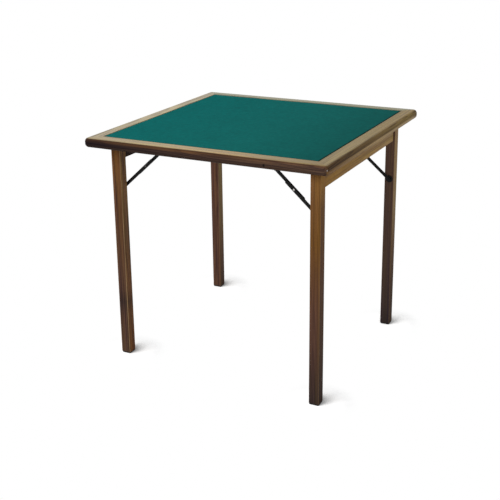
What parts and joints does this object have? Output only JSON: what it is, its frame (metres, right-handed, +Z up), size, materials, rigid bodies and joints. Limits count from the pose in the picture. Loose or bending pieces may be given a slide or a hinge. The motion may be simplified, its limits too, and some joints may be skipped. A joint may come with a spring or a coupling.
{
  "type": "folding card table",
  "caption": "Square card table: cloth panel in a mitred wood edge, and square wood legs that each fold flat under the top on a jointed steel stay.",
  "frame": {"origin": "on the floor, under the middle of the top", "axes": "+Z up, +X along the front edge to the right, +Y to the back; the side rails run along Y"},
  "size_m": [0.8, 0.8, 0.75],
  "materials": {
    "edge_wood": "varnished, glossy on top",
    "leg_wood": "walnut stain, satin varnish",
    "rail_wood": "stained, satin varnish",
    "dowel_wood": "raw beech",
    "plywood": "raw plywood",
    "cloth": "short-napped playing cloth",
    "black_steel": "black, satin",
    "bright_steel": "zinc plated",
    "glide_plastic": "moulded, matt"
  },
  "bodies": {
    "table_top": {"edge_front": "edge_wood", "edge_right": "edge_wood", "edge_back": "edge_wood", "edge_left": "edge_wood", "mitre_tongues": "plywood", "top_panel": "plywood", "playing_cloth": "cloth", "rail_right": "rail_wood", "rail_left": "rail_wood", "rail_dowels": "dowel_wood", "leg_pivot_pins": "bright_steel", "pivot_washers": "bright_steel", "stay_bracket_front_right": "black_steel", "stay_bracket_front_left": "black_steel", "stay_bracket_back_right": "black_steel", "stay_bracket_back_left": "black_steel", "bracket_screws": "black_steel", "bracket_pins": "bright_steel"},
    "leg_front_right": {"leg_front_right": "leg_wood", "glide_front_right": "glide_plastic", "leg_insert_front_right": "black_steel"},
    "upper_link_front_right": {"upper_link_front_right": "black_steel", "knee_rivet_front_right": "bright_steel"},
    "lower_link_front_right": {"lower_link_front_right": "black_steel", "stay_screw_front_right": "black_steel"},
    "leg_front_left": {"leg_front_left": "leg_wood", "glide_front_left": "glide_plastic", "leg_insert_front_left": "black_steel"},
    "upper_link_front_left": {"upper_link_front_left": "black_steel", "knee_rivet_front_left": "bright_steel"},
    "lower_link_front_left": {"lower_link_front_left": "black_steel", "stay_screw_front_left": "black_steel"},
    "leg_back_right": {"leg_back_right": "leg_wood", "glide_back_right": "glide_plastic", "leg_insert_back_right": "black_steel"},
    "upper_link_back_right": {"upper_link_back_right": "black_steel", "knee_rivet_back_right": "bright_steel"},
    "lower_link_back_right": {"lower_link_back_right": "black_steel", "stay_screw_back_right": "black_steel"},
    "leg_back_left": {"leg_back_left": "leg_wood", "glide_back_left": "glide_plastic", "leg_insert_back_left": "black_steel"},
    "upper_link_back_left": {"upper_link_back_left": "black_steel", "knee_rivet_back_left": "bright_steel"},
    "lower_link_back_left": {"lower_link_back_left": "black_steel", "stay_screw_back_left": "black_steel"}
  },
  "joints": [
    {"name": "fold_front_right", "type": "hinge", "parent": "table_top", "child": "leg_front_right", "pos_m": [0.348, -0.34, 0.684], "axis": [0, 1, 0], "range_deg": [0, 90]},
    {"name": "stay_hinge_front_right", "type": "hinge", "parent": "table_top", "child": "upper_link_front_right", "pos_m": [0.20623, -0.3152, 0.702], "axis": [0, 1, 0], "range_deg": [0, 125]},
    {"name": "stay_knee_front_right", "type": "hinge", "parent": "upper_link_front_right", "child": "lower_link_front_right", "pos_m": [0.26648, -0.3202, 0.64718], "axis": [0, 1, 0], "range_deg": [-167.3, 0]},
    {"name": "fold_front_left", "type": "hinge", "parent": "table_top", "child": "leg_front_left", "pos_m": [-0.348, -0.292, 0.684], "axis": [0, -1, 0], "range_deg": [0, 90]},
    {"name": "stay_hinge_front_left", "type": "hinge", "parent": "table_top", "child": "upper_link_front_left", "pos_m": [-0.19854, -0.2672, 0.702], "axis": [0, -1, 0], "range_deg": [0, 125.7]},
    {"name": "stay_knee_front_left", "type": "hinge", "parent": "upper_link_front_left", "child": "lower_link_front_left", "pos_m": [-0.26234, -0.2722, 0.64395], "axis": [0, -1, 0], "range_deg": [-168, 0]},
    {"name": "fold_back_right", "type": "hinge", "parent": "table_top", "child": "leg_back_right", "pos_m": [0.348, 0.292, 0.684], "axis": [0, 1, 0], "range_deg": [0, 90]},
    {"name": "stay_hinge_back_right", "type": "hinge", "parent": "table_top", "child": "upper_link_back_right", "pos_m": [0.15105, 0.2672, 0.702], "axis": [0, 1, 0], "range_deg": [0, 129.7]},
    {"name": "stay_knee_back_right", "type": "hinge", "parent": "upper_link_back_right", "child": "lower_link_back_right", "pos_m": [0.23308, 0.2722, 0.63119], "axis": [0, 1, 0], "range_deg": [-170.5, 0]},
    {"name": "fold_back_left", "type": "hinge", "parent": "table_top", "child": "leg_back_left", "pos_m": [-0.348, 0.34, 0.684], "axis": [0, -1, 0], "range_deg": [0, 90]},
    {"name": "stay_hinge_back_left", "type": "hinge", "parent": "table_top", "child": "upper_link_back_left", "pos_m": [-0.15105, 0.3152, 0.702], "axis": [0, -1, 0], "range_deg": [0, 129.7]},
    {"name": "stay_knee_back_left", "type": "hinge", "parent": "upper_link_back_left", "child": "lower_link_back_left", "pos_m": [-0.23308, 0.3202, 0.63119], "axis": [0, -1, 0], "range_deg": [-170.5, 0]}
  ],
  "couplings": [
    {"joint": "stay_hinge_front_right", "follows": "fold_front_right", "ratio": 1.3882},
    {"joint": "stay_knee_front_right", "follows": "fold_front_right", "ratio": -1.8582},
    {"joint": "stay_hinge_front_left", "follows": "fold_front_left", "ratio": 1.3962},
    {"joint": "stay_knee_front_left", "follows": "fold_front_left", "ratio": -1.8662},
    {"joint": "stay_hinge_back_right", "follows": "fold_back_right", "ratio": 1.4404},
    {"joint": "stay_knee_back_right", "follows": "fold_back_right", "ratio": -1.8938},
    {"joint": "stay_hinge_back_left", "follows": "fold_back_left", "ratio": 1.4404},
    {"joint": "stay_knee_back_left", "follows": "fold_back_left", "ratio": -1.8938}
  ]
}
